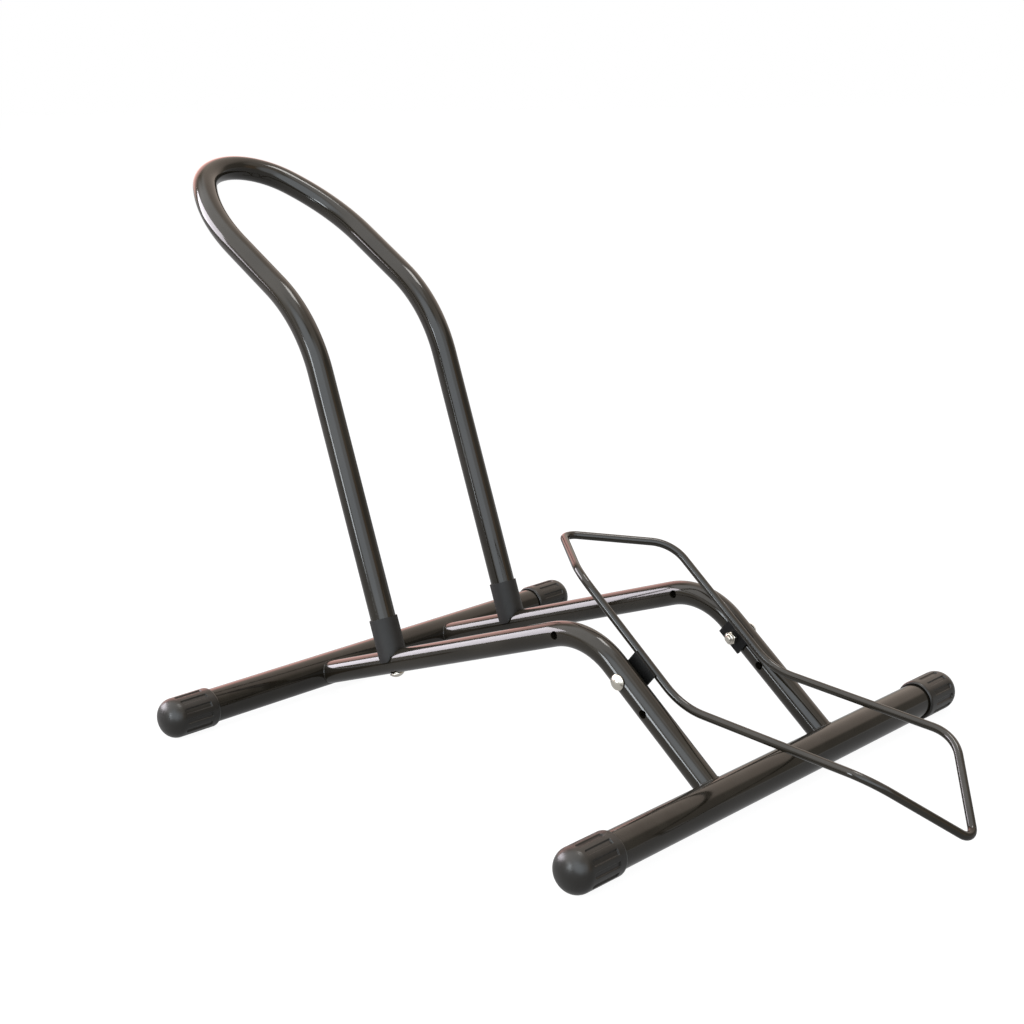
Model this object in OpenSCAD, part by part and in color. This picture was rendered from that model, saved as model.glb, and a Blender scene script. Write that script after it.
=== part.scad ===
/* [Overall] */
// Overall width across the end caps
overall_width = 410; // [380:1:460]
// Overall height at the crown of the hoop
overall_height = 380; // [370:1:400]

/* [Base frame] */
// Outside diameter of the two cross tubes
cross_tube_d = 23.5; // [21:0.5:24]
// Distance between the axes of the two cross tubes
cross_tube_spacing = 360; // [350:1:390]
// Outside diameter of the two side rails
rail_d = 16.5; // [15:0.5:18]
// Distance from the front cross tube back to the corner of the rails
rail_corner_run = 255.5; // [250:0.5:262]
// Height of the rails' corner above the floor
rail_corner_height = 98.5; // [94:0.5:104]
// How far the rails' axes lie below the cross tubes' axes
rail_drop = 2.5; // [0:0.5:4]
// Radius of the rails' bend, on the tube's axis
rail_bend_r = 52; // [40:1:60]
// Wall thickness of all the tubes
tube_wall = 1.2; // [1:0.1:1.5]

/* [Hoop] */
// Clear gap between the two legs, where the tyre goes
hoop_gap = 105; // [95:1:120]
// Outside diameter of the hoop's tube
hoop_d = 18; // [17:0.5:19]
// Where the legs stand, measured up the rails from the front cross tube
leg_station = 82; // [72:1:92]
// Length of a leg from the rail's axis to the hoop's corner
leg_length = 248; // [238:1:252]
// Length of the hoop's upper part, from its corner up the slope to the crown
upper_length = 183.5; // [175:0.5:192]
// Radius of the bend at the hoop's corner, on the tube's axis
hoop_bend_r = 112; // [95:1:120]
// Reach of the arch up the slope, from where the legs start to close in
arch_reach = 95; // [88:1:100]
// Radius of the arch at its crown, on the tube's axis
arch_crown_r = 48; // [44:1:51]

/* [Leg sockets] */
// Wall of the plastic sleeve round a leg
socket_wall = 1.05; // [0.8:0.05:1.6]
// Height of the sleeve's mouth above the rail's axis
socket_height = 31.5; // [26:0.5:38]
// Thickness of the web that the leg stands on, above the rail
socket_web = 2.5; // [2:0.5:4]
// Height of the two saddle tongues' tips above the rail's axis
tongue_height = 1; // [0:0.5:3]
// Rounding of the tongues' tips
tongue_round = 3.4; // [1:0.2:4]
// Length of the threaded plug in the end of each leg
plug_length = 14; // [10:1:18]

/* [End caps] */
// Outside diameter of the end caps
cap_d = 27.5; // [26.5:0.5:30]
// Length of an end cap
cap_length = 40.5; // [40:0.5:48]
// Thickness of plastic beyond the end of the tube
cap_end_wall = 8; // [6:0.5:10]
// Length of the plain collar at the mouth
cap_collar = 7.5; // [6:0.5:8]
// Rounding of the collar's lip
cap_lip_r = 2.6; // [1:0.1:3]
// Corner radius of the domed end
cap_corner_r = 10; // [6:0.5:10]
// Radius of the dome's crown
cap_crown_r = 20; // [18:0.5:30]
// Number of recessed flutes round a cap
flute_count = 12; // [8:1:16]
// Width of a flute
flute_width = 3.3; // [2.8:0.1:4.4]
// Length of a flute
flute_length = 21.5; // [16:0.5:22]
// Depth of a flute at its middle
flute_depth = 0.9; // [0.5:0.1:1.2]
// Rounding of a flute's outer corners
flute_round = 1.3; // [0.5:0.1:1.3]
// Turn of the flutes about the tube
flute_turn = 0; // [0:1:30]

/* [Cradle] */
// Diameter of the cradle's wire
wire_d = 5.4; // [5:0.2:6]
// Distance of the wire's axis from the pivot, square to the wire
wire_offset = 11; // [10:0.5:12]
// Length of the front arms, from the pivot to the corner of the nose
front_arm = 74.5; // [68:0.5:80]
// Length of the rear arms, from the pivot to the bend in the side
rear_arm = 34.5; // [30:0.5:38]
// Length of the tail arms, from the bend in the side to the corner of the tail
tail_arm = 134; // [124:1:145]
// Reach of the nose beyond its corner
nose_reach = 56.5; // [50:0.5:60]
// Reach of the tail beyond its corner
tail_reach = 58.2; // [52:0.2:62]
// Upward bend of the sides
side_bend = 35; // [30:0.5:38]
// Downward bend of the nose
nose_bend = 33.5; // [28:0.5:38]
// Downward bend of the tail
tail_bend = 39.5; // [34:0.5:42]
// Radius of the bends in the sides, on the wire's axis
side_bend_r = 51; // [40:1:60]
// Radius of the corners of the nose
nose_corner_r = 30; // [15:1:36]
// Radius of the tip of the nose
nose_tip_r = 9; // [6:0.5:14]
// Radius of the corners of the tail
tail_corner_r = 30; // [15:1:36]
// Radius of the tip of the tail
tail_tip_r = 8; // [6:0.5:20]
// Height of the resting tail above the floor
tail_rest_gap = 5.4; // [0.4:0.1:20]
// Thickness of the cradle's plates
plate_t = 2; // [1.5:0.1:3]
// Length of a plate along the wire
plate_length = 20; // [18:0.5:24]
// Height of a plate's top edge above the wire's axis
plate_rise = 1.2; // [0.6:0.1:2]
// Depth of a plate below the pivot
plate_drop = 5.8; // [5.2:0.1:7]

/* [Bolts and holes] */
// Diameter of the bolts' shanks
bolt_d = 5; // [4:0.5:5]
// Diameter of the bolts' domed heads
bolt_head_d = 10.4; // [9:0.1:11]
// Height of the bolts' heads
bolt_head_h = 3; // [2.5:0.1:4]
// Diameter of the bolt holes in the rails and sockets
bolt_hole_d = 5.5; // [5.3:0.1:6]
// Where the pivot hole is, measured down the rear slope from the rails' corner
pivot_station = 41; // [38:0.5:44]
// Distance from the pivot hole down to the spare hole for larger wheels
low_hole_pitch = 25.5; // [22:0.5:32]
// Distance of the spare hole for smaller wheels ahead of the rails' corner
high_hole_station = 22; // [16:0.5:28]
// Size of the lock nuts across their flats
nut_flats = 8; // [7:0.5:9]
// Height of a lock nut's hexagon
nut_hex_h = 3.6; // [3:0.2:4.4]
// Height of a lock nut with its collar
nut_h = 5; // [4.6:0.2:6]
// Diameter of a lock nut's collar
nut_collar_d = 6.9; // [6.2:0.1:7]
// Length of the bolt's end beyond the nut
bolt_end = 1.4; // [0.6:0.2:2]

/* [Clearances] */
// Radial clearance between the pivot bolt and a plate's hole
pivot_clearance = 0.08; // [0.02:0.01:0.1]
// Side clearance between a plate and its rail
plate_rail_gap = 0.3; // [0.1:0.1:0.6]
// Side clearance between a plate and its lock nut
plate_nut_gap = 0.15; // [0.1:0.05:0.4]
// Radial clearance of the tubes in the caps and sockets
tube_fit = 0.05; // [0:0.01:0.15]
// Radial gap round the tube at the mouth of a cap
cap_mouth_gap = 0.6; // [0.4:0.1:0.8]

/* [Hidden] */
$fn = 96;
// Overrun of the cuts
over = 1;
// How far a straight run laps into a bend, and how much thicker the bend is there
bend_lap = 0.5;
bend_swell = 0.02;
// Chamfer on the nut's corners
nut_chamfer = 0.5;
// Rounding of the nut's collar
nut_collar_round = 1;
// Rounding of the bolt's end
bolt_end_round = 1;
// Height of the straight edge of a bolt's head
head_edge = 0.6;
// Thread depth of a plug above the web, beyond the bolt's end
plug_spare = 3;
// Depth of the wide mouth in a cap
cap_mouth_depth = 1.8;

// Places in the side view: x runs back from the front cross tube's axis, z up from the floor
tube_z = cap_d / 2;
rail_end_z = tube_z - rail_drop;
rail_start = [0, rail_end_z];
rail_corner = [rail_corner_run, rail_corner_height];
rail_end = [cross_tube_spacing, rail_end_z];
front_slope = atan2(rail_corner_height - rail_end_z, rail_corner_run);
rear_slope = atan2(rail_corner_height - rail_end_z, cross_tube_spacing - rail_corner_run);
rail_up = [cos(front_slope), sin(front_slope)];
rail_down = [cos(rear_slope), -sin(rear_slope)];

// The hoop: its legs are square to the rails' front slope and stand on the rails' axes
half_gauge = (hoop_gap + hoop_d) / 2;
leg_foot = rail_start + leg_station * rail_up;
leg_dir = [-sin(front_slope), cos(front_slope)];
hoop_corner = leg_foot + leg_length * leg_dir;
crown_z = overall_height - hoop_d / 2;
hoop_slope = asin((crown_z - hoop_corner[1]) / upper_length);
slope_dir = [-cos(hoop_slope), sin(hoop_slope)];
crown = hoop_corner + upper_length * slope_dir;
leg_seat = rail_d / 2 + socket_web;
leg_start = leg_foot + leg_seat * leg_dir;
arch_start = hoop_corner + (upper_length - arch_reach) * slope_dir;

// The arch has a small radius at its crown and one large radius on each side, tangent to each other
arch_side_r = (pow(arch_reach, 2) - 2 * arch_reach * arch_crown_r + pow(half_gauge, 2))
    / (2 * (half_gauge - arch_crown_r));
arch_side_turn = atan2(arch_reach - arch_crown_r, arch_side_r - half_gauge);

// The holes along each rail
pivot = rail_corner + pivot_station * rail_down;
low_hole = pivot + low_hole_pitch * rail_down;
high_hole = rail_corner - high_hole_station * rail_up;

// The cradle: the plate lies between the rail and the wire
plate_outer_y = half_gauge - rail_d / 2 - plate_rail_gap;
plate_inner_y = plate_outer_y - plate_t;
wire_y = plate_inner_y - wire_d / 2;
tail_slope = side_bend - tail_bend;

// The cradle's corners in its own frame: x runs back along the front arms, z square to them
nose_corner = [-front_arm, wire_offset];
side_corner = [rear_arm, wire_offset];
tail_corner = side_corner + tail_arm * [cos(side_bend), sin(side_bend)];
nose_point = nose_corner + nose_reach * [-cos(nose_bend), -sin(nose_bend)];
tail_point = tail_corner + tail_reach * [cos(tail_slope), sin(tail_slope)];

// The cradle stands at the tilt that brings the tip of its tail down to its resting height
tail_half_angle = atan2(wire_y, tail_reach);
tail_tip_inset = tail_tip_r * (1 / sin(tail_half_angle) - 1);
tail_tip = tail_point - tail_tip_inset * [cos(tail_slope), sin(tail_slope)];
rest_tilt = atan2(tail_tip[1], tail_tip[0])
    + asin((pivot[1] - wire_d / 2 - tail_rest_gap) / norm(tail_tip));

// The origin is on the floor, half way between the crown of the hoop and the tip of the tail
front_reach = crown[0] - hoop_d / 2;
tail_reach_x = pivot[0] + tail_tip[0] * cos(rest_tilt) + tail_tip[1] * sin(rest_tilt) + wire_d / 2;
centre_x = (front_reach + tail_reach_x) / 2;

// A joint of the dome's corner and crown on the cap's outline
cap_dome_sink = sqrt(pow(cap_crown_r - cap_corner_r, 2) - pow(cap_d / 2 - cap_corner_r, 2));
cap_dome_start = cap_length - (cap_crown_r - cap_dome_sink);
cap_dome_joint = cap_dome_sink * cap_corner_r / (cap_crown_r - cap_corner_r);

hoop_bolt_grip = leg_seat + plug_length - plug_spare;
pivot_nut_y = plate_inner_y - plate_nut_gap;

function unit(v) = v / norm(v);
function side(p, y) = [p[0], y, p[1]];
function turn_at(c, i) = let (n = len(c))
    acos(unit(c[i] - c[(i + n - 1) % n]) * unit(c[(i + 1) % n] - c[i]));

// Moves a shape drawn with x, y and z along the given directions to a place
module on_axes(place, x_dir, y_dir) {
    z_dir = cross(x_dir, y_dir);
    multmatrix([
        [x_dir[0], y_dir[0], z_dir[0], place[0]],
        [x_dir[1], y_dir[1], z_dir[1], place[1]],
        [x_dir[2], y_dir[2], z_dir[2], place[2]],
    ])
        children();
}

// Points z along a direction of the side view, with y kept
module along(place, dir) {
    on_axes(side(place, 0), side([dir[1], -dir[0]], 0), [0, 1, 0])
        children();
}

// Puts the whole model on its origin
module placed() {
    translate([-centre_x, 0, 0])
        children();
}

// Puts a piece drawn for the right side, where y is positive, on either side
module on_side(right) {
    mirror([0, right ? 0 : 1, 0])
        children();
}

module ring(r, bore_r) {
    difference() {
        circle(r);
        circle(bore_r);
    }
}

module straight_run(from, to, r) {
    dir = unit(to - from);
    flat = norm([dir[0], dir[1]]);
    side_dir = flat > 0 ? [-dir[1], dir[0], 0] / flat : [0, 1, 0];
    on_axes(from, side_dir, cross(dir, side_dir))
        cylinder(h = norm(to - from), r = r);
}

// An arc of rod that starts at a place on its axis and turns towards its centre
module bend(start, dir, centre, turn, r) {
    radius = norm(start - centre);
    on_axes(centre, (start - centre) / radius, dir)
        rotate_extrude(angle = turn)
            translate([radius, 0])
                circle(r);
}

// A rod through a row of corners, each bent to its own radius. The two ends have radius 0 and
// run on by the spare length. The bends are a hair thicker, and the straights lap into them.
module bent_run(corners, radii, r, spare = 0, closed = false) {
    n = len(corners);
    cuts = [
        for (i = [0:n - 1]) radii[i] == 0 ? -spare : radii[i] * tan(turn_at(corners, i) / 2) - bend_lap
    ];
    for (i = [0:closed ? n - 1 : n - 2]) {
        j = (i + 1) % n;
        dir = unit(corners[j] - corners[i]);
        straight_run(corners[i] + cuts[i] * dir, corners[j] - cuts[j] * dir, r);
    }
    for (i = [0:n - 1])
        if (radii[i] > 0) {
            dir_in = unit(corners[i] - corners[(i + n - 1) % n]);
            dir_out = unit(corners[(i + 1) % n] - corners[i]);
            turn = turn_at(corners, i);
            bend(
                corners[i] - radii[i] * tan(turn / 2) * dir_in, dir_in,
                corners[i] + radii[i] / cos(turn / 2) * unit(dir_out - dir_in), turn, r + bend_swell
            );
        }
}

module cross_tube(x) {
    tube_length = overall_width - 2 * cap_end_wall;
    color("dimgray")
        placed()
            translate([x, tube_length / 2, tube_z])
                rotate([90, 0, 0])
                    linear_extrude(tube_length)
                        ring(cross_tube_d / 2, cross_tube_d / 2 - tube_wall);
}

// A hole through the rail, side to side
module side_hole(place) {
    translate([place[0], half_gauge, place[1]])
        rotate([90, 0, 0])
            cylinder(h = rail_d + 2 * over, d = bolt_hole_d, center = true);
}

module rail_run(r, spare = 0) {
    bent_run(
        [for (p = [rail_start, rail_corner, rail_end]) side(p, half_gauge)],
        [0, rail_bend_r, 0], r, spare
    );
}

module rail(right) {
    color("dimgray")
        placed()
            on_side(right)
                difference() {
                    rail_run(rail_d / 2);
                    rail_run(rail_d / 2 - tube_wall, over);
                    for (x = [0, cross_tube_spacing])
                        translate([x, half_gauge, tube_z])
                            rotate([90, 0, 0])
                                cylinder(h = rail_d + 2 * over, d = cross_tube_d, center = true);
                    for (hole = [pivot, low_hole, high_hole])
                        side_hole(hole);
                    translate([0, half_gauge, 0])
                        along(leg_foot, leg_dir)
                            cylinder(h = rail_d + 2 * over, d = bolt_hole_d, center = true);
                }
}

// The outline of a socket seen from the side: full width above, a rounded tongue below
module tongue_outline() {
    socket_r = hoop_d / 2 + tube_fit + socket_wall;
    tongue_half = sqrt(pow(socket_r, 2) - pow(rail_d / 2, 2) + pow(tongue_height, 2));
    round_z = tongue_height + tongue_round;
    translate([-socket_r - over, round_z])
        square([2 * (socket_r + over), socket_height + over - round_z]);
    translate([-tongue_half + tongue_round, tongue_height])
        square([2 * (tongue_half - tongue_round), tongue_round]);
    for (s = [-1, 1])
        translate([s * (tongue_half - tongue_round), round_z])
            circle(tongue_round);
}

module socket(right) {
    socket_r = hoop_d / 2 + tube_fit + socket_wall;
    color("black")
        placed()
            on_side(right)
                translate([0, half_gauge, 0])
                    difference() {
                        intersection() {
                            along(leg_foot, leg_dir)
                                cylinder(h = socket_height, r = socket_r);
                            along(leg_foot, leg_dir)
                                rotate([90, 0, 0])
                                    linear_extrude(2 * (socket_r + over), center = true)
                                        tongue_outline();
                        }
                        along(leg_foot, leg_dir)
                            translate([0, 0, leg_seat])
                                cylinder(h = socket_height, r = hoop_d / 2 + tube_fit);
                        along(leg_foot, leg_dir)
                            rotate([0, 90, 0])
                                cylinder(h = 2 * (socket_r + over), d = rail_d, center = true);
                        along(leg_foot, leg_dir)
                            cylinder(h = socket_height, d = bolt_hole_d);
                    }
}

// A threaded plug pressed into the end of the leg, which the hoop bolt screws into
module leg_plug(right) {
    color("silver")
        placed()
            on_side(right)
                translate([0, half_gauge, 0])
                    along(leg_start, leg_dir)
                        linear_extrude(plug_length)
                            ring(hoop_d / 2 - tube_wall - tube_fit, bolt_d / 2);
}

// The hoop as a rod of any radius: two legs, the bends above them and the arch of three arcs
module hoop_run(r, spare = 0) {
    up = side(slope_dir, 0);
    side_arc_r = r + bend_swell;
    lap_turn = bend_lap / arch_side_r * 180 / PI;
    crown_centre = side(crown - arch_crown_r * slope_dir, 0);
    for (right = [true, false])
        on_side(right) {
            bent_run(
                [for (p = [leg_start, hoop_corner, arch_start + bend_lap * slope_dir]) side(p, half_gauge)],
                [0, hoop_bend_r, 0], r, spare
            );
            bend(
                side(arch_start, half_gauge), up,
                side(arch_start, half_gauge - arch_side_r), arch_side_turn + lap_turn, side_arc_r
            );
        }
    bend(
        crown_centre + arch_crown_r * (sin(arch_side_turn) * up + [0, cos(arch_side_turn), 0]),
        cos(arch_side_turn) * up - [0, sin(arch_side_turn), 0],
        crown_centre, 2 * (90 - arch_side_turn), side_arc_r + bend_swell
    );
}

module hoop() {
    color("dimgray")
        placed()
            difference() {
                hoop_run(hoop_d / 2);
                hoop_run(hoop_d / 2 - tube_wall, over);
            }
}

// The outline of a bolt: shank up the z axis, domed head below z = 0, rounded end
module bolt(grip) {
    dome_h = bolt_head_h - head_edge;
    dome_r = (pow(bolt_head_d / 2, 2) + pow(dome_h, 2)) / (2 * dome_h);
    end_r = bolt_d / 2 - bolt_end_round;
    color("silver")
        rotate_extrude() {
            square([bolt_d / 2, grip - bolt_end_round]);
            square([end_r, grip]);
            intersection() {
                translate([end_r, grip - bolt_end_round])
                    circle(bolt_end_round);
                square([bolt_d / 2, grip]);
            }
            translate([0, -head_edge])
                square([bolt_head_d / 2, head_edge]);
            intersection() {
                translate([0, dome_r - bolt_head_h])
                    circle(dome_r);
                translate([0, -bolt_head_h])
                    square([bolt_head_d / 2, dome_h]);
            }
        }
}

module hoop_bolt(right) {
    placed()
        on_side(right)
            translate([0, half_gauge, 0])
                along(leg_foot - rail_d / 2 * leg_dir, leg_dir)
                    bolt(rail_d / 2 + hoop_bolt_grip);
}

module pivot_bolt(right) {
    head_y = half_gauge + rail_d / 2;
    placed()
        on_side(right)
            translate([pivot[0], head_y, pivot[1]])
                rotate([90, 0, 0])
                    bolt(head_y - pivot_nut_y + nut_h + bolt_end);
}

// A lock nut: a chamfered hexagon with a rounded collar
module pivot_nut(right) {
    corner_r = nut_flats / 2 / cos(30);
    chamfer_r = corner_r - nut_chamfer;
    color("silver")
        placed()
            on_side(right)
                translate([pivot[0], pivot_nut_y, pivot[1]])
                    rotate([90, rest_tilt, 0])
                        difference() {
                            union() {
                                intersection() {
                                    cylinder(h = nut_hex_h, r = corner_r, $fn = 6);
                                    cylinder(h = nut_hex_h + corner_r, r1 = corner_r + nut_hex_h, r2 = 0);
                                }
                                rotate_extrude() {
                                    square([nut_collar_d / 2, nut_h - nut_collar_round]);
                                    square([nut_collar_d / 2 - nut_collar_round, nut_h]);
                                    intersection() {
                                        translate([nut_collar_d / 2 - nut_collar_round, nut_h - nut_collar_round])
                                            circle(nut_collar_round);
                                        square([nut_collar_d / 2, nut_h]);
                                    }
                                }
                            }
                            translate([0, 0, -over])
                                cylinder(h = nut_h + 2 * over, d = bolt_d);
                        }
}

// Half of a cap's section: x is the distance from the axis, y runs from the mouth to the domed end
module cap_section() {
    cap_r = cap_d / 2;
    crown_y = cap_dome_start - cap_dome_sink;
    bore_r = cross_tube_d / 2 + tube_fit;
    mouth_r = cross_tube_d / 2 + cap_mouth_gap;
    difference() {
        union() {
            translate([0, cap_lip_r])
                square([cap_r, cap_dome_start - cap_lip_r]);
            square([cap_r - cap_lip_r, cap_lip_r]);
            intersection() {
                translate([cap_r - cap_lip_r, cap_lip_r])
                    circle(cap_lip_r);
                square([cap_r, cap_length]);
            }
            translate([cap_r - cap_corner_r, cap_dome_start])
                intersection() {
                    circle(cap_corner_r);
                    translate([cap_corner_r - cap_r, 0])
                        square([cap_r, cap_corner_r]);
                }
            translate([0, cap_dome_start])
                square([cap_r - cap_corner_r, cap_dome_joint]);
            intersection() {
                translate([0, crown_y])
                    circle(cap_crown_r);
                translate([0, cap_dome_start + cap_dome_joint])
                    square([cap_r, cap_length]);
            }
        }
        translate([0, -over])
            square([bore_r, cap_length - cap_end_wall + over]);
        translate([0, -over])
            square([mouth_r, cap_mouth_depth + over]);
    }
}

// One flute as a block that reaches in to its flat depth, with its outer corners rounded
module flute_block() {
    flute_end = cap_collar + flute_length;
    floor_r = cap_d / 2 - flute_depth;
    difference() {
        rotate([0, 90, 0])
            linear_extrude(cap_d / 2 + over) {
                translate([-flute_end + flute_round, -flute_width / 2])
                    square([flute_length - flute_round, flute_width]);
                translate([-flute_end, -flute_width / 2 + flute_round])
                    square([flute_round, flute_width - 2 * flute_round]);
                for (s = [-1, 1])
                    translate([-flute_end + flute_round, s * (flute_width / 2 - flute_round)])
                        circle(flute_round);
            }
        cylinder(h = cap_length, r = floor_r);
    }
}

module end_cap(x, right) {
    color("black")
        placed()
            on_side(right)
                translate([x, overall_width / 2 - cap_length, tube_z])
                    rotate([-90, 0, 0])
                        difference() {
                            rotate_extrude()
                                cap_section();
                            for (i = [0:flute_count - 1])
                                rotate([0, 0, -flute_turn - i * 360 / flute_count])
                                    flute_block();
                        }
}

// Puts the cradle's own frame on the pivot at the resting tilt
module on_cradle() {
    translate([pivot[0], 0, pivot[1]])
        rotate([0, rest_tilt, 0])
            children();
}

module cradle_loop() {
    half = [nose_corner, side_corner, tail_corner];
    corners = concat(
        [side(nose_point, 0)], [for (p = half) side(p, wire_y)],
        [side(tail_point, 0)], [for (i = [2:-1:0]) side(half[i], -wire_y)]
    );
    radii = [
        nose_tip_r, nose_corner_r, side_bend_r, tail_corner_r,
        tail_tip_r, tail_corner_r, side_bend_r, nose_corner_r,
    ];
    color("dimgray")
        placed()
            on_cradle()
                bent_run(corners, radii, wire_d / 2, closed = true);
}

// A flat plate on the outer side of the wire, with the hole that it pivots on
module cradle_plate(right) {
    color("black")
        placed()
            on_side(right)
                on_cradle()
                    translate([0, plate_outer_y, 0])
                        rotate([90, 0, 0])
                            linear_extrude(plate_t)
                                difference() {
                                    translate([-plate_length / 2, -plate_drop])
                                        square([plate_length, plate_drop + wire_offset + plate_rise]);
                                    circle(bolt_d / 2 + pivot_clearance);
                                }
}

cross_tube(0);  // front_cross_tube
cross_tube(cross_tube_spacing);  // rear_cross_tube
rail(false);  // left_rail
rail(true);  // right_rail
socket(false);  // left_socket
socket(true);  // right_socket
leg_plug(false);  // left_leg_plug
leg_plug(true);  // right_leg_plug
hoop();
hoop_bolt(false);  // left_hoop_bolt
hoop_bolt(true);  // right_hoop_bolt
end_cap(0, false);  // front_left_cap
end_cap(0, true);  // front_right_cap
end_cap(cross_tube_spacing, false);  // rear_left_cap
end_cap(cross_tube_spacing, true);  // rear_right_cap
cradle_loop();
cradle_plate(false);  // left_cradle_plate
cradle_plate(true);  // right_cradle_plate
pivot_bolt(false);  // left_pivot_bolt
pivot_bolt(true);  // right_pivot_bolt
pivot_nut(false);  // left_pivot_nut
pivot_nut(true);  // right_pivot_nut
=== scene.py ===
import math

import bmesh
import bpy
from bpy.props import BoolProperty, FloatProperty, FloatVectorProperty, IntProperty, PointerProperty
from mathutils import Matrix, Vector


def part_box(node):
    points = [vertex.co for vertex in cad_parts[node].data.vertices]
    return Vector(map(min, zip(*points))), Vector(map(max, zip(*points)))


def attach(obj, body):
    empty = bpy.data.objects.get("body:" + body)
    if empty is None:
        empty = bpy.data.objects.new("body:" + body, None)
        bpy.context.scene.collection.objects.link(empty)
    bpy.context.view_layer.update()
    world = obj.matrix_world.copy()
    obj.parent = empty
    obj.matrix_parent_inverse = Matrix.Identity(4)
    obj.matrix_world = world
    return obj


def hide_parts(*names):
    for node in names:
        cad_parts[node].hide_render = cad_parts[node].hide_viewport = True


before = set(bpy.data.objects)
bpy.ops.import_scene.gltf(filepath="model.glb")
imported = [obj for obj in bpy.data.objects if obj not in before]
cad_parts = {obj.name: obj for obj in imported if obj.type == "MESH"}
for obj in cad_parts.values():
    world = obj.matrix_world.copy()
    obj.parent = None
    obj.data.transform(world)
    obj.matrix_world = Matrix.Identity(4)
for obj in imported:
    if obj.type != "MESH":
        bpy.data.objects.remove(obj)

bl_info = {
    "name": "Floor Bike Rack",
    "version": (1, 0, 0),
    "blender": (4, 5, 0),
    "location": "View3D > Sidebar > Rack",
    "description": "Tubes, caps and fasteners of a floor bike rack, with their finishes",
    "category": "Object",
}

MM = 0.001
X = Vector((1, 0, 0))
Y = Vector((0, 1, 0))
MERGE = 0.002 * MM  # vertices closer than this are one
FINE = 3 * MM  # usual length of a step along a tube
SIDES = (("left", -1), ("right", 1))
FEWEST = 20  # faces that any piece keeps after a cut
# Clearances all round: of the tubes in the caps, and of the bolts in the plates and the nuts
TUBE_FIT, PLATE_FIT, NUT_FIT = 0.05 * MM, 0.08 * MM, 0.12 * MM


# Properties


def length(name, mm, text):
    return FloatProperty(name=name, description=text, default=mm * MM, min=0, precision=5, unit="LENGTH")


def slope(name, degrees, text):
    return FloatProperty(name=name, description=text, default=math.radians(degrees), subtype="ANGLE")


def amount(name, default, text):
    return FloatProperty(name=name, description=text, default=default, min=0, max=1, subtype="FACTOR")


def colour(name, rgb, text):
    return FloatVectorProperty(
        name=name, description=text, default=rgb, size=3, min=0, max=1, subtype="COLOR"
    )


def brightness(name, default, text):
    return FloatProperty(name=name, description="Brightness of " + text, default=default, min=0)


class RACK_PG_tubes(bpy.types.PropertyGroup):
    """Sizes of the cross tubes, the rails and the hoop"""

    width: length("Width", 410, "Overall width over the end caps")
    height: length("Height", 380, "Overall height to the top of the hoop")
    cross_d: length("Cross Tube", 23.5, "Diameter of the two cross tubes")
    spacing: length("Cross Tube Spacing", 360, "Distance between the two cross tubes")
    rail_d: length("Rail", 16.5, "Diameter of the rails")
    corner_run: length("Rail Corner Run", 255.5, "Distance of the rails' corner from the front")
    corner_height: length("Rail Corner Height", 98.5, "Height of the rails' corner above the floor")
    rail_drop: length("Rail Drop", 2.5, "How far the rails' ends lie below the cross tubes' axes")
    rail_bend_r: length("Rail Bend", 52, "Bend radius of the rails' corner")
    wall: length("Tube Wall", 1.2, "Wall of the rails")
    hoop_d: length("Hoop", 18, "Diameter of the hoop")
    hoop_gap: length("Hoop Gap", 105, "Clear width between the hoop's legs")
    leg_station: length("Leg Station", 82, "Distance of the legs along the rails")
    leg_length: length("Leg Length", 248, "Length of the hoop's legs up to their corner")
    hoop_bend_r: length("Hoop Bend", 112, "Bend radius of the hoop's corners")
    upper_length: length("Upper Length", 183.5, "Length of the hoop from its corners to its crown")
    arch_reach: length("Arch Reach", 95, "Length of the arch at the top of the hoop")
    arch_crown_r: length("Arch Crown", 48, "Radius of the arch's crown")
    pivot_station: length("Pivot Station", 41, "Distance of the pivot past the rails' corner")
    low_hole: length("Lower Hole", 25.5, "Distance of the lower spare hole past the pivot")
    high_hole: length("Upper Hole", 22, "Distance of the upper spare hole ahead of the corner")
    sides: IntProperty(name="Sides", description="Faces around each tube", default=96, min=24, max=256)


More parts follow.
